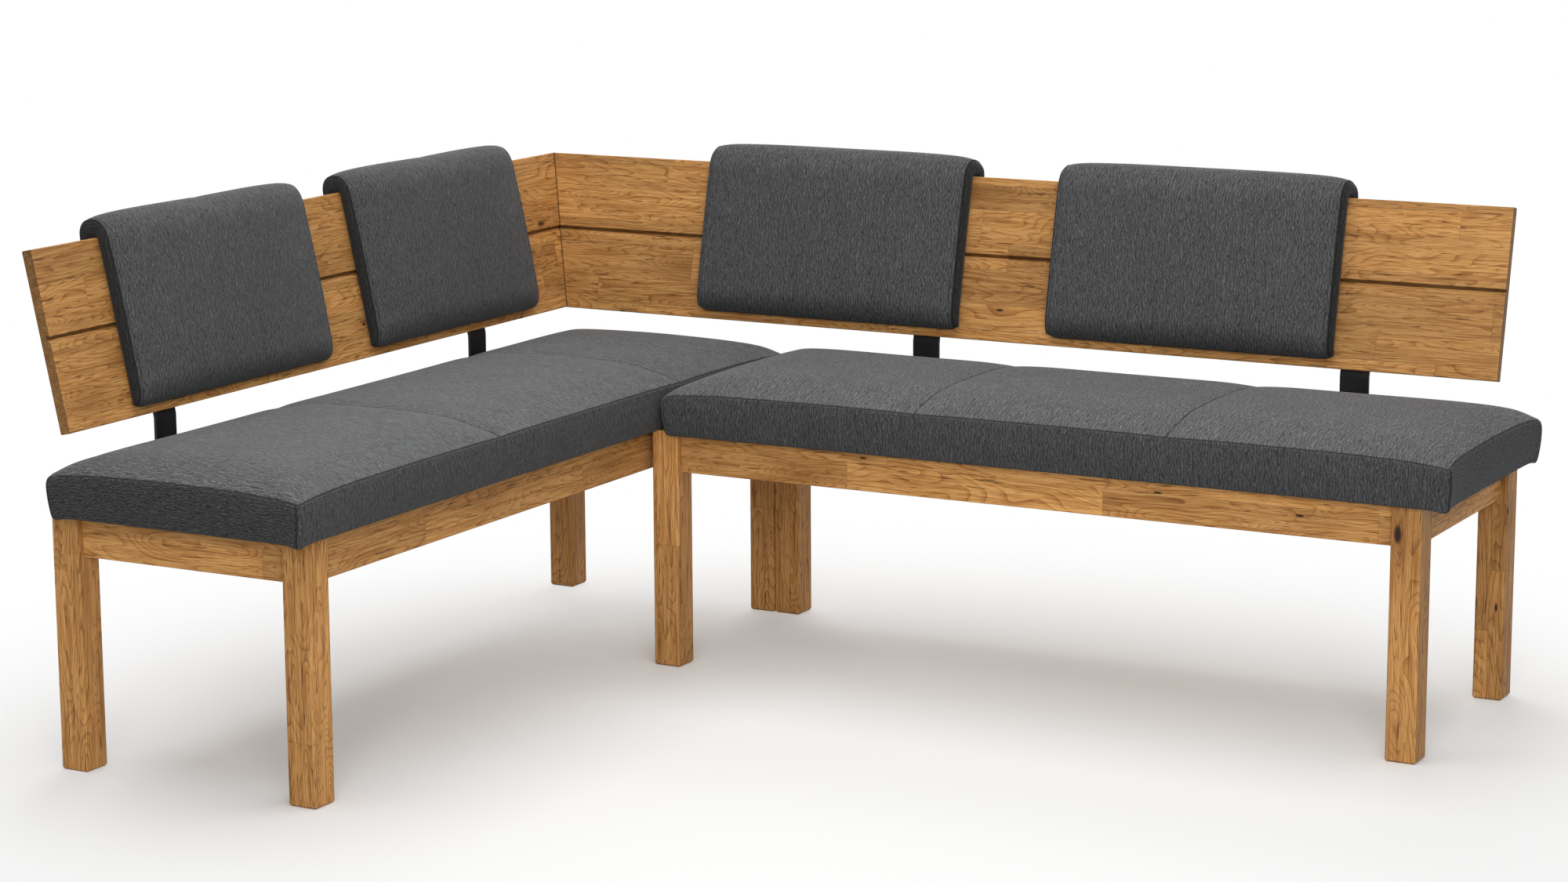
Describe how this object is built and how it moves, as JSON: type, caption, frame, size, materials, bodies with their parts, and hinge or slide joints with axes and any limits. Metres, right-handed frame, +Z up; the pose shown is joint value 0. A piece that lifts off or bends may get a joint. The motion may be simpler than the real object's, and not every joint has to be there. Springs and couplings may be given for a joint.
{
  "type": "corner bench",
  "caption": "Corner bench of two wooden frames with leaning backrest boards, boxed seat cushions and back cushions that hook over the boards and slide along them.",
  "frame": {"origin": "middle of the whole bench's box, on the floor", "axes": "+X along the short wing, away from the room corner; the long wing runs along -Y from the corner; +Z up"},
  "size_m": [1.9484, 1.5827, 0.845],
  "materials": {
    "oak": "oiled",
    "inner_wood": "raw",
    "upholstery": "woven melange",
    "bracket_steel": "matt powder coat",
    "fastener_steel": "zinc plated"
  },
  "bodies": {
    "bench": {"bracket_board_screws": "fastener_steel", "bracket_rail_screws": "fastener_steel", "ledger_screws": "fastener_steel", "long_backrest_board": "oak", "long_bracket_1": "bracket_steel", "long_bracket_2": "bracket_steel", "long_ledger_room": "inner_wood", "long_ledger_wall": "inner_wood", "long_leg_room_inner": "oak", "long_leg_room_outer": "oak", "long_leg_wall_inner": "oak", "long_leg_wall_outer": "oak", "long_rail_inner": "oak", "long_rail_outer": "oak", "long_rail_room": "oak", "long_rail_wall": "oak", "long_seat_cushion": "upholstery", "long_seat_panel": "inner_wood", "panel_screws": "fastener_steel", "short_backrest_board": "oak", "short_bracket_1": "bracket_steel", "short_bracket_2": "bracket_steel", "short_ledger_room": "inner_wood", "short_ledger_wall": "inner_wood", "short_leg_room_inner": "oak", "short_leg_room_outer": "oak", "short_leg_wall_inner": "oak", "short_leg_wall_outer": "oak", "short_rail_inner": "oak", "short_rail_outer": "oak", "short_rail_room": "oak", "short_rail_wall": "oak", "short_seat_cushion": "upholstery", "short_seat_panel": "inner_wood", "unit_plate_screws": "fastener_steel", "unit_plates": "fastener_steel"},
    "long_back_cushion_1": {"long_back_cushion_1": "upholstery"},
    "long_back_cushion_2": {"long_back_cushion_2": "upholstery"},
    "short_back_cushion_1": {"short_back_cushion_1": "upholstery"},
    "short_back_cushion_2": {"short_back_cushion_2": "upholstery"}
  },
  "joints": [
    {"name": "long_back_cushion_1_slide", "type": "slide", "parent": "bench", "child": "long_back_cushion_1", "axis": [0, -1, 0], "range_m": [-0.085, 0.06]},
    {"name": "long_back_cushion_2_slide", "type": "slide", "parent": "bench", "child": "long_back_cushion_2", "axis": [0, -1, 0], "range_m": [-0.06, 0.15]},
    {"name": "short_back_cushion_1_slide", "type": "slide", "parent": "bench", "child": "short_back_cushion_1", "axis": [1, 0, 0], "range_m": [-0.23, 0.085]},
    {"name": "short_back_cushion_2_slide", "type": "slide", "parent": "bench", "child": "short_back_cushion_2", "axis": [1, 0, 0], "range_m": [-0.085, 0.275]}
  ]
}
